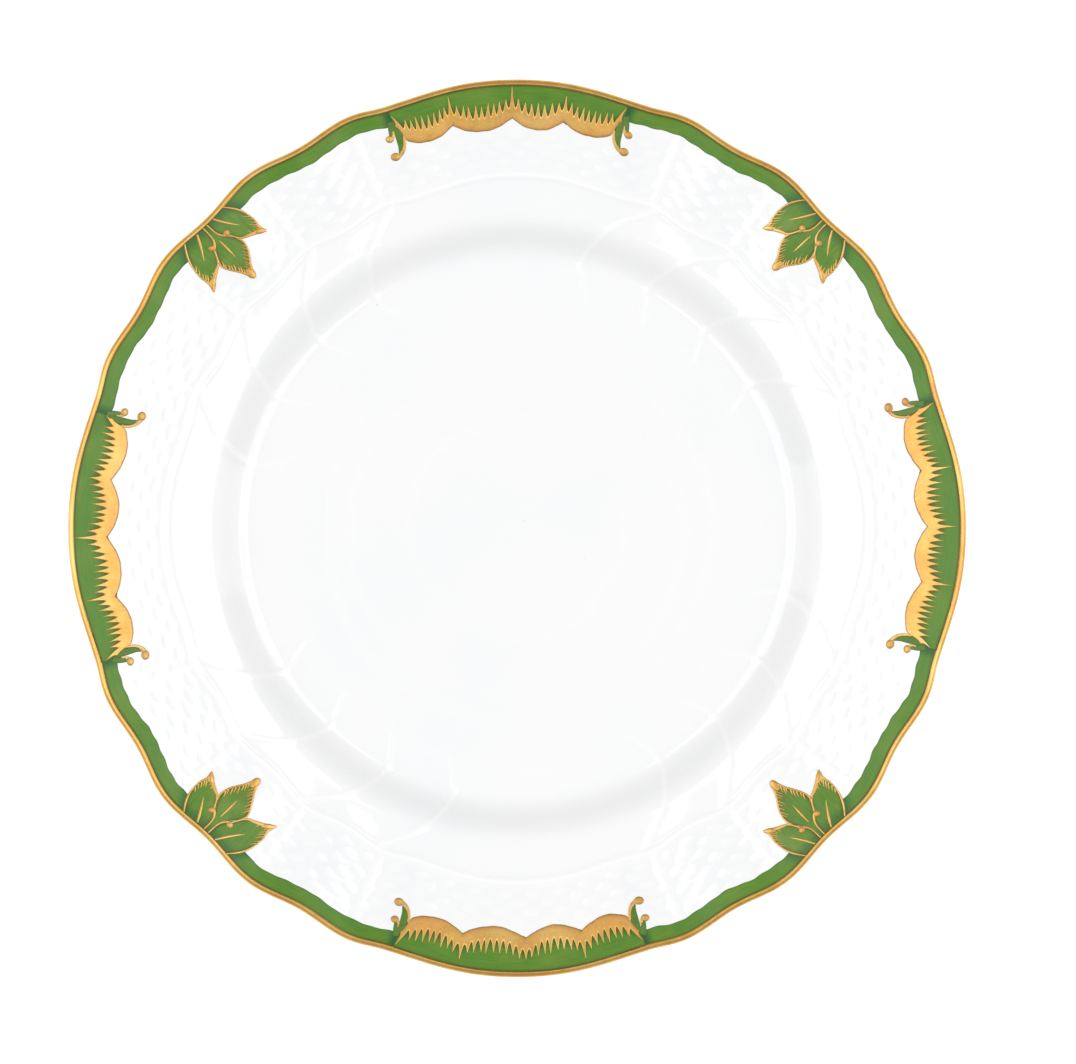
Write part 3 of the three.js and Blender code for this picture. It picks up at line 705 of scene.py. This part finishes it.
# axis in degrees, lean and tip in millimetres; left and right give where a side leaflet starts,
# then the x and the inset of its tip
sprays = {
    "northeast": {"axis": 44.9, "lean": 0.7, "tip": 21.3,
                  "left": (8.8, 10.85, 15.5), "right": (7.9, 11.75, 14.5)},
    "northwest": {"axis": 135.98, "lean": 0.5, "tip": 21.7,
                  "left": (7.7, 11.3, 16.6), "right": (7.9, 11.15, 14.9)},
    "southwest": {"axis": 224.2, "lean": 0.0, "tip": 22.6,
                  "left": (9.1, 12.8, 16.8), "right": (8.6, 10.7, 14.9)},
    "southeast": {"axis": 314.8, "lean": 0.5, "tip": 22.9,
                  "left": (8.7, 12.2, 16.0), "right": (7.6, 10.7, 14.9)},
}
leaf = {  # lines of the right half before they are fitted to a spray, by x and inset
    "base": 8.3, "sideTip": (11.6, 16.0), "tip": 22.8,
    "outer": [(7.9, 1.6), (9.2, 3.4), (10.3, 5.2), (11.1, 7.2), (11.5, 9.4), (11.6, 11.4), (11.3, 13.0),
              (11.05, 14.2), (11.5, 15.7)],
    "inner": [(0.8, 1.6), (0.95, 4.6), (1.6, 6.7), (2.9, 8.7), (4.3, 10.6), (5.4, 12.0), (6.7, 12.7),
              (8.1, 13.5), (9.7, 14.6), (11.4, 15.7)],
    "neck": [(0.75, 1.6), (0.9, 4.6), (1.5, 6.7), (2.8, 8.7), (4.2, 10.6), (4.75, 12.2), (4.7, 13.6),
             (4.1, 15.2), (3.0, 17.0), (1.8, 18.8), (1.1, 20.2), (0.6, 21.4)],
    "stalk": [(0.75, 1.7), (0.85, 4.6), (1.35, 6.4), (2.3, 7.6), (3.3, 8.1)],
    "head": (3.2, 7.45),
    "border": [(3.1, 8.3), (3.7, 9.5), (4.3, 10.6), (5.0, 11.8)],
    "midrib": [(3.3, 1.8), (4.6, 4.2), (6.2, 6.8), (7.6, 8.9)],
    "tipStroke": [(9.0, 13.8), (10.1, 14.7), (11.1, 15.6), (11.8, 16.4)],
}


def fitted(points, spray, side, middle=False):
    # the lines stretch in proportion to their inset, from the side leaflet's start to its tip; the
    # middle leaflet changes from that to its own length between insets 11 and 16
    startX, tipX, tipInset = spray["left" if side > 0 else "right"]
    x, y = np.array(points, float).T
    s = np.clip(y / leaf["sideTip"][1], 0, 1)
    sideX = x * mix(startX / leaf["base"], tipX / leaf["sideTip"][0], s)
    sideY = y * mix(1, tipInset / leaf["sideTip"][1], s)
    if middle:
        m = smooth(y, 11, 16)
        sideX = mix(sideX, x, m)
        sideY = mix(sideY, y * mix(1, spray["tip"] / leaf["tip"], y / leaf["tip"]), m)
    lean = spray["lean"] * smooth(y, 7, leaf["tip"]) * middle
    return np.stack([side * sideX + lean, sideY], -1)


sides = {"left": 1, "right": -1}  # counter-clockwise is left
panels = {  # cusps are degrees counter-clockwise from the middle, tips how far in each spike stops
    "east": {"middle": 0, "cusps": (16.9, 8.1, 0.25, -7.5, -16.2), "teeth": (9, 8, 8, 9),
             "tips": (1.8, 2.0, 2.4, 2.2, 3.3)},
    "north": {"middle": 90, "cusps": (17.1, 9.1, 0.65, -6.55, -14.7), "teeth": (8, 9, 7, 8),
              "tips": (2.9, 2.0, 1.5, 3.1, 2.2)},
    "west": {"middle": 180, "cusps": (17.9, 9.6, 1.25, -6.8, -15.5), "teeth": (8, 8, 8, 8),
             "tips": (2.7, 2.4, 1.7, 4.3, 4.6)},
    "south": {"middle": 270, "cusps": (17.1, 9.1, 1.2, -7.65, -16.4), "teeth": (7, 8, 9, 8),
              "tips": (3.0, 2.6, 4.6, 3.1, 2.2)},
}
comb = {  # insets and lengths in millimetres, the widths and the lean of its two ends in degrees
    "middleCusp": 11.0, "endCusp": 9.2, "bulge": 3.2, "width": 3.75, "toothLength": 2.7, "toothSwell": 1.5,
    "toothPower": 1.6, "spikePower": 2.1, "endPower": 1.25, "endHalf": 0.5, "endLean": 0.8,
    "lift": 0.1, "rise": 0.13, "sink": 0.05,
}
shell = {"lift": 0.06, "sink": 0.08, "underComb": 0.8, "cuspShow": 1.15, "cuspWidth": 0.75}
band = {"width": 5.85, "startOverlap": 0.25, "underLeaf": 0.9, "lift": 0.05, "sink": 0.08}


def combLine(degrees, panel):
    # inner side of the comb: a parabola 4bt(1 - t) between each two cusps
    cusps = np.array(panel["cusps"])[::-1]
    insets = np.array([comb["endCusp"], *[comb["middleCusp"]] * 3, comb["endCusp"]])
    k = np.clip(np.searchsorted(cusps, degrees) - 1, 0, 3)
    t = np.clip((degrees - cusps[k]) / (cusps[k + 1] - cusps[k]), 0, 1)
    return mix(insets[k], insets[k + 1], t) + 4 * comb["bulge"] * t * (1 - t)


def waver(values, size, lengths):
    # a sum of sines of random phase over the given wavelengths
    return sum(size * rng.uniform(0.4, 1) * np.sin(2 * math.pi * values / length + rng.uniform(0, 6.3))
               for length in lengths)


def brushFields(angle, inset, shade, pool):
    # the brush runs round the edge at about 2.2 mm to a degree
    return onBothSides({"along": np.degrees(angle) * 2.2, "across": inset,
                        "shade": np.clip(shade, 0, 1), "pool": np.clip(pool, 0, 1)})


def byGoldLine(inset):
    # 1 at the inner side of the gold line, down to 0 in the next 0.8 mm
    return 1 - smooth(inset, edgeLine["width"], edgeLine["width"] + 0.8)


def makeBand(name, node, panel, side):
    # a strip along the edge from the comb's end to a slanted end under the next spray's outer leaflet:
    # angle is straight along it, and inset is straight across it to a wavering inner side
    t = np.linspace(0, 1, 150)[:, None]
    v = np.linspace(0, 1, 14)[None, :]
    start = abs(panel["cusps"][0 if side > 0 else 4]) - band["startOverlap"]
    beside = panel["middle"] + 45 * side
    spray = min(sprays.values(), key=lambda each: abs((each["axis"] - beside + 180) % 360 - 180))
    leafEdge = fitted(leaf["outer"], spray, 1 if side < 0 else -1)
    innerSide = band["width"] + waver(mix(start, 45, t), 0.13, (3.1, 6.7, 11.0))
    inset = mix(edgeLine["paintStart"], innerSide, v)
    away = np.abs(np.interp(inset, leafEdge[:, 1], leafEdge[:, 0])) - band["underLeaf"]
    toSpray = abs((spray["axis"] - panel["middle"] + 180) % 360 - 180)
    end = toSpray - np.degrees(away / (plateRadius - 2.5 - inset))
    angle = np.radians(panel["middle"] + side * mix(start, end, t))
    pool = 0.9 * (1 - smooth(t, 0.015, 0.075)) + 0.75 * smooth(t, 0.9, 0.985) + 0.25 * smooth(v, 0.86, 1)
    lift = band["lift"] * (0.4 + 0.6 * np.sin(np.pi * np.clip(v, 0.04, 0.96)) ** 0.4) + 0 * inset
    points, faces = layer(angle, inset, lift, band["sink"])
    fields = brushFields(angle, inset, byGoldLine(inset), pool)
    makePiece(name, points, faces, [node], "green_enamel", fields)


def makeShellField(name, node, panel):
    # green from the gold line to under the comb, with a Gaussian bulge past each inner cusp of it
    degrees = np.linspace(panel["cusps"][4], panel["cusps"][0], 230)[:, None]
    v = np.linspace(0, 1, 34)[None, :]
    past = 0
    for cusp in panel["cusps"][1:4]:
        strength = rng.uniform(0.6, 1.1)
        away = degrees - cusp + rng.uniform(-0.3, 0.3)
        past = past + strength * np.exp(-(away / shell["cuspWidth"]) ** 2)
    innerSide = combLine(degrees, panel) - shell["underComb"] + np.clip(past, 0, shell["cuspShow"])
    inset = mix(edgeLine["paintStart"], innerSide, v)
    angle = np.radians(panel["middle"] + degrees) + 0 * inset
    fromRoot = combLine(degrees, panel) - comb["width"] - inset
    shade = 0.85 * (1 - smooth(fromRoot, -0.5, 2.4)) + byGoldLine(inset)
    pool = 0.5 * (1 - smooth(fromRoot, 0.5, 3.4)) + 0 * v
    points, faces = layer(angle, inset, np.full(inset.shape, shell["lift"]), shell["sink"])
    fields = brushFields(angle, inset, shade, pool)
    makePiece(name, points, faces, [node], "green_enamel", fields)


def makeComb(name, node, panel):
    # teeth and spikes stand outwards from a scalloped ribbon of gold: the outer side is
    # root - height * (1 - |p|)^power, with p from -1 to 1 across each of them
    cusps = np.array(panel["cusps"])[::-1]
    tips = np.array(panel["tips"])[::-1]
    counts = np.array(panel["teeth"])[::-1]
    centres, reach, power, lean = [], [], [], []
    for k in range(5):
        outwardLean = comb["endLean"] * (1 if k == 4 else -1 if k == 0 else 0)
        centres.append(cusps[k] - outwardLean)
        reach.append(tips[k])
        power.append(comb["spikePower"] if 0 < k < 4 else comb["endPower"])
        lean.append(outwardLean)
        if k == 4:
            break
        t = np.arange(1, counts[k] + 1) / (counts[k] + 1)
        last = cusps[k + 1] - (comb["endLean"] if k == 3 else 0)
        place = mix(centres[-1], last, t) + rng.uniform(-0.09, 0.09, counts[k])
        length = comb["toothLength"] + comb["toothSwell"] * np.sin(np.pi * t)
        root = combLine(place, panel) - comb["width"]
        centres.extend(place)
        reach.extend(root - length * rng.uniform(0.88, 1.1, counts[k]))
        power.extend([comb["toothPower"]] * counts[k])
        lean.extend(rng.uniform(-0.1, 0.1) + rng.uniform(-0.1, 0.1, counts[k]))
    centres, reach, power, lean = (np.array(values) for values in (centres, reach, power, lean))
    middles = (centres[1:] + centres[:-1]) / 2
    low = np.concatenate([[centres[0] - comb["endHalf"]], middles])
    high = np.concatenate([middles, [centres[-1] + comb["endHalf"]]])
    p = np.linspace(-1, 1, 15)[:-1]
    degrees = centres[:, None] + np.where(p < 0, (centres - low)[:, None], (high - centres)[:, None]) * p
    sharp = (1 - np.abs(p)) ** power[:, None]

    def spread(values):
        # one value for each tooth, given to all its columns
        return np.append(np.broadcast_to(values, degrees.shape).ravel(), np.ravel(values)[-1])

    across = np.append(degrees.ravel(), high[-1])
    sharp = np.append(sharp.ravel(), 0)
    root = combLine(across, panel) - comb["width"] + waver(across, 0.1, (2.3, 5.1))
    outer = (root - (root - spread(reach[:, None])) * sharp)[:, None]
    inner = (combLine(across, panel) + waver(across, 0.07, (1.7, 3.9)))[:, None]
    ends = np.minimum(across - across[0], across[-1] - across)[:, None]
    inner = mix(root[:, None] + 0.7, inner, smooth(ends, 0.1, 1.1))
    v = np.linspace(0, 1, 17)[None, :] ** 1.1
    inset = mix(outer, inner, v)
    height = np.clip((root[:, None] - inset) / (root - spread(reach[:, None]))[:, None], 0, 1)
    swing = across[:, None] + spread(lean[:, None])[:, None] * height ** 1.3
    angle = np.radians(panel["middle"] + swing)
    ribbon = np.clip((inner - inset) / comb["width"], 0, 1)
    lift = comb["lift"] + comb["rise"] * np.sqrt(np.clip(1 - (1 - np.minimum(ribbon * 2.6, 1)) ** 2, 0, 1))
    lift = lift * (0.5 + 0.5 * smooth(inset - outer, 0, 0.5))
    points, faces = layer(angle, inset, lift, comb["sink"])
    thin = np.clip(1 - np.minimum((inset - outer) / 0.35, (inner - inset) / 0.5), 0, 1)
    # darker, duller and more orange towards the comb's inner side
    innerDulling = 0.24 * (1 - smooth(inner - inset, 0.3, 3.0))
    warm = 0.28 * (1 - smooth(inner - inset, 0.2, 2.6)) + 0.1 * np.sin(across * 0.9)[:, None]
    fields = onBothSides({"rim": np.clip(0.8 * thin + innerDulling, 0, 1), "warm": warm})
    fields["rim"][thin.size:] = 1  # the sunk copy is all edge
    makePiece(name, points, faces, [node], "gold", fields)


for place, panel in panels.items():
    makeShellField(f"shellGreen_{place}", f"green_shell_{place}", panel)
    makeComb(f"goldComb_{place}", f"gold_comb_{place}", panel)
    for sideName, side in sides.items():
        makeBand(f"edgeBand_{place}_{sideName}", f"green_edge_band_{place}_{sideName}", panel, side)
print("shell panels and bands made")


tendrils = {  # lines and heads by x away from the comb's end and inset, with their widths
    "long": {
        "stalk": [(-0.7, 5.6), (-0.7, 8.0), (-0.62, 10.2), (-0.3, 12.0), (0.7, 13.6)],
        "stalkWidths": (1.5, 2.0, 2.0, 1.5, 0.25), "stalkRows": 22, "stalkLift": 0.06,
        "outline": [(-2.1, 9.0), (-1.85, 10.8), (-1.3, 12.4), (-0.2, 13.8), (1.3, 14.5)],
        "outlineWidths": (0.35, 0.7, 0.8, 0.9, 1.1), "head": (2.0, 14.3), "headSize": (1.35, 1.15),
    },
    "short": {
        "stalk": [(0.2, 4.8), (0.8, 6.3), (1.3, 7.6), (2.0, 9.0)],
        "stalkWidths": (1.7, 1.7, 1.3, 0.3), "stalkRows": 20, "stalkLift": 0.05,
        "outline": [(0.5, 7.4), (0.9, 8.9), (1.8, 9.7)],
        "outlineWidths": (0.35, 0.6, 0.8), "head": (2.2, 9.3), "headSize": (1.15, 1.0),
    },
}


def makeTendrils(place, panel, side):
    # green stalks with a gold line beside each that swells into a bud: half-round strokes and domes
    axis = math.radians(panel["middle"] + panel["cusps"][0 if side > 0 else 4])
    jogs = dict(zip(tendrils, rng.uniform(-0.3, 0.3, (2, 2))))

    def at(points, jog):
        # a line on its own side, moved by the jog in proportion to how far along it is
        shares = np.linspace(0, 1, len(points))
        return [(side * (x + jog[0] * k), y + jog[1] * k) for (x, y), k in zip(points, shares)]

    stalks = [strokeShell(at(each["stalk"], jogs[kind]), each["stalkWidths"], axis, each["stalkLift"], 0.08,
                          each["stalkRows"])
              for kind, each in tendrils.items()]
    points, faces, rim = joinShells(stalks)
    fields = {"along": points[:, 0] * 0.5, "across": points[:, 1] * 0.5, "shade": 0.1 + 0.2 * rim,
              "pool": 0.2 + 0.4 * rim}
    makePiece(f"tendril_{place}", points, faces, [f"green_tendril_{place}"], "leaf_enamel", fields)
    for kind, each in tendrils.items():
        jog = jogs[kind]
        head = (side * (each["head"][0] + jog[0]), each["head"][1] + jog[1])
        gold = [strokeShell(at(each["outline"], jog), each["outlineWidths"], axis, 0.1, 0.12),
                domeShell(head, each["headSize"], axis, 0.12, 0.2)]
        points, faces, rim = joinShells(gold)
        makePiece(f"{kind}Bud_{place}", points, faces, [f"gold_{kind}_bud_{place}"], "gold",
                  {"rim": rim * 0.8 + 0.1})


for place, panel in panels.items():
    for sideName, side in sides.items():
        makeTendrils(f"{place}_{sideName}", panel, side)
print("tendrils and buds made")


def makeLeaflet(name, node, axis, first, second):
    # a blade ruled between two smooth margins, swelling as a square root of the sine across it
    rows = 50
    a = smoothPath(first, rows)[:, None, :]
    b = smoothPath(second, rows)[:, None, :]
    v = np.linspace(0, 1, 17)[None, :, None]
    flat = mix(a, b, v)
    x, inset = flat[..., 0], flat[..., 1]
    across = v[..., 0] + 0 * x
    lift = 0.07 + 0.05 * np.sin(np.pi * across) ** 0.5
    points, faces = layer(alongEdge(x, inset, axis), inset, lift, 0.06)
    margin = 1 - smooth(np.minimum(across, 1 - across), 0.0, 0.16)
    shade = 0.6 * margin + 0.5 * (1 - smooth(inset, 1.6, 2.4)) + 0.45 * smooth(inset, 10.5, 15.5) * margin
    shade = np.clip(shade + 0.3 * smooth(inset, 12.0, 18.0), 0, 1)
    pool = np.clip(0.35 * margin + 0.7 * (1 - smooth(inset, 2.0, 5.5)), 0, 1)
    fields = onBothSides({"along": inset * 1.3 + rng.uniform(0, 50), "across": x * 0.8, "shade": shade,
                          "pool": pool})
    makePiece(name, points, faces, [node], "leaf_enamel", fields)


def hatching(margin, side, axis, places, reach):
    # short tapered strokes that leave a margin at the given shares of its length and run back to the base
    line = smoothPath(margin, 80)
    strokes = []
    for t in places:
        x, y = line[int(t * 79)] + rng.uniform(-0.07, 0.07, 2)
        dx, dy = np.array(reach) * rng.uniform(0.7, 1.15)
        path = [(x, y), (x + side * 0.5 * dx, y + 0.45 * dy), (x + side * dx, y + dy)]
        strokes.append(strokeShell(path, (0.46, 0.34, 0.1), axis, 0.12, 0.09, 6, 5))
    return strokes


def makeTracery(name, node, spray):
    # margins, veins, volutes, tips and hatching of one spray, all half-round strokes
    axis = math.radians(spray["axis"])
    shells = []
    for side in (-1, 1):
        def draw(points, widths, count, rise=0.12, middle=False):
            # one line of the leaf, fitted to this side of the spray
            line = fitted(points, spray, side, middle)
            shells.append(strokeShell(line, widths, axis, 0.12, rise, count))

        draw(leaf["outer"][:5], (0.3, 0.5, 0.6, 0.5, 0.35), 26)
        draw(leaf["outer"][4:], (0.35, 0.42, 0.55, 0.75, 0.6), 20)
        draw(leaf["inner"][4:], (0.4, 0.6, 0.85, 1.0, 0.95, 0.7), 30)
        draw(leaf["tipStroke"], (0.9, 1.5, 1.2, 0.45), 16, 0.2)
        draw(leaf["border"], (0.55, 0.5, 0.5, 0.55), 14)
        draw(leaf["stalk"], (0.42, 0.45, 0.6, 0.8, 0.9), 28, 0.16)
        draw(leaf["midrib"], (0.45, 0.7, 0.5, 0.12), 22)
        draw(leaf["neck"][4:], (0.4, 0.5, 0.45, 0.45, 0.5, 0.55, 0.7, 0.8), 38, 0.12, True)
        head = fitted([leaf["head"]], spray, side)[0]
        shells.append(domeShell(head, (1.05, 0.95), axis, 0.14, 0.2))
        neck = fitted(leaf["neck"], spray, side, True)
        outer = fitted(leaf["outer"], spray, side)
        inner = fitted(leaf["inner"], spray, side)
        shells.extend(hatching(neck, side, axis, np.linspace(0.6, 0.9, 8), (-0.95, -2.1)))
        shells.extend(hatching(outer, side, axis, np.linspace(0.52, 0.93, 6), (-1.5, -1.9)))
        shells.extend(hatching(inner, side, axis, np.linspace(0.82, 0.96, 3), (-0.5, -2.0)))
    lean, tip = spray["lean"], spray["tip"]
    middleTip = [(0.8 * lean, tip - 3.4), (0.9 * lean, tip - 1.7), (lean, tip - 0.7), (lean, tip)]
    middleVein = [(0, 7.2), (0.1 * lean, 10.4), (0.3 * lean, 13.8)]
    shells.append(strokeShell(middleTip, (1.0, 2.2, 1.9, 0.8), axis, 0.13, 0.2, 18))
    shells.append(strokeShell(middleVein, (0.3, 0.7, 0.14), axis, 0.13, 0.12))
    points, faces, rim = joinShells(shells)
    makePiece(name, points, faces, [node], "gold",
              {"rim": rim + 0.12, "warm": np.full(len(points), 0.05)})


for place, spray in sprays.items():
    axis = math.radians(spray["axis"])
    for sideName, side in sides.items():
        makeLeaflet(f"leaf_{sideName}_{place}", f"leaflet_{sideName}_{place}", axis,
                    fitted(leaf["inner"], spray, side), fitted(leaf["outer"], spray, side))
    makeLeaflet(f"leaf_middle_{place}", f"leaflet_middle_{place}", axis,
                fitted(leaf["neck"], spray, -1, True), fitted(leaf["neck"], spray, 1, True))
    makeTracery(f"leafGold_{place}", f"gold_leaf_tracery_{place}", spray)
print("leaf sprays made")


stage = {  # metres; the camera looks straight down at lookX, lookY
    "floorHalf": 8.0, "floorGlow": 0.28, "surroundings": 0.605,
    "cameraAbove": 1.5, "frameWidth": 0.3052, "lookX": 0.00594, "lookY": -0.00104,
}
lights = {  # place and size in metres, power in watts
    "softboxLeft": {"place": (-0.85, 0, 1.3), "size": (1.3, 1.35), "power": 8.7},
    "softboxRight": {"place": (0.85, 0, 1.3), "size": (1.3, 1.35), "power": 8.7},
    "lowFillLeft": {"place": (-3.4, 0, 1.0), "size": (1.6, 3.2), "power": 14.4},
    "lowFillRight": {"place": (3.4, 0, 1.0), "size": (1.6, 3.2), "power": 14.4},
}


def makeFloor():
    # a large pale square at height 0 that glows a little by itself
    half = stage["floorHalf"]
    mesh = bpy.data.meshes.new("floor")
    mesh.from_pydata([(-half, -half, 0), (half, -half, 0), (half, half, 0), (-half, half, 0)], [],
                     [(0, 1, 2, 3)])
    floor = bpy.data.objects.new("floor", mesh)
    f = Finish("paleFloor")
    tint = f.colour((0.93, 0.93, 0.93, 1), (0.95, 0.95, 0.95, 1), f.noise(f.place(), 3.0))
    f.set(Base_Color=tint, Roughness=0.9, Emission_Color=tint)
    f.shader.inputs["Emission Strength"].default_value = stage["floorGlow"]
    f.shader.inputs["Specular IOR Level"].default_value = 0.1
    mesh.materials.append(f.material)
    bpy.context.collection.objects.link(floor)


def makeLight(name, settings):
    # an area light turned to face the plate
    data = bpy.data.lights.new(name, "AREA")
    data.shape = "RECTANGLE"
    data.size, data.size_y = settings["size"]
    data.energy = settings["power"]
    light = bpy.data.objects.new(name, data)
    light.location = settings["place"]
    towards = Vector((0, 0, 0)) - Vector(settings["place"])
    light.rotation_euler = towards.to_track_quat("-Z", "Y").to_euler()
    bpy.context.collection.objects.link(light)


makeFloor()
for lightName, settings in lights.items():
    makeLight(lightName, settings)
world = bpy.data.worlds.new("studio")
world.use_nodes = True
background = world.node_tree.nodes["Background"]
background.inputs["Color"].default_value = (1, 1, 1, 1)
background.inputs["Strength"].default_value = stage["surroundings"]
bpy.context.scene.world = world
bpy.context.scene.view_settings.view_transform = "Standard"

cameraData = bpy.data.cameras.new("camera")
cameraData.sensor_width = 36
cameraData.lens = 36 * stage["cameraAbove"] / stage["frameWidth"]
camera = bpy.data.objects.new("camera", cameraData)
camera.location = (stage["lookX"], stage["lookY"], plateHeight * mm + stage["cameraAbove"])
bpy.context.collection.objects.link(camera)
bpy.context.scene.camera = camera
print("floor, lights and camera placed")
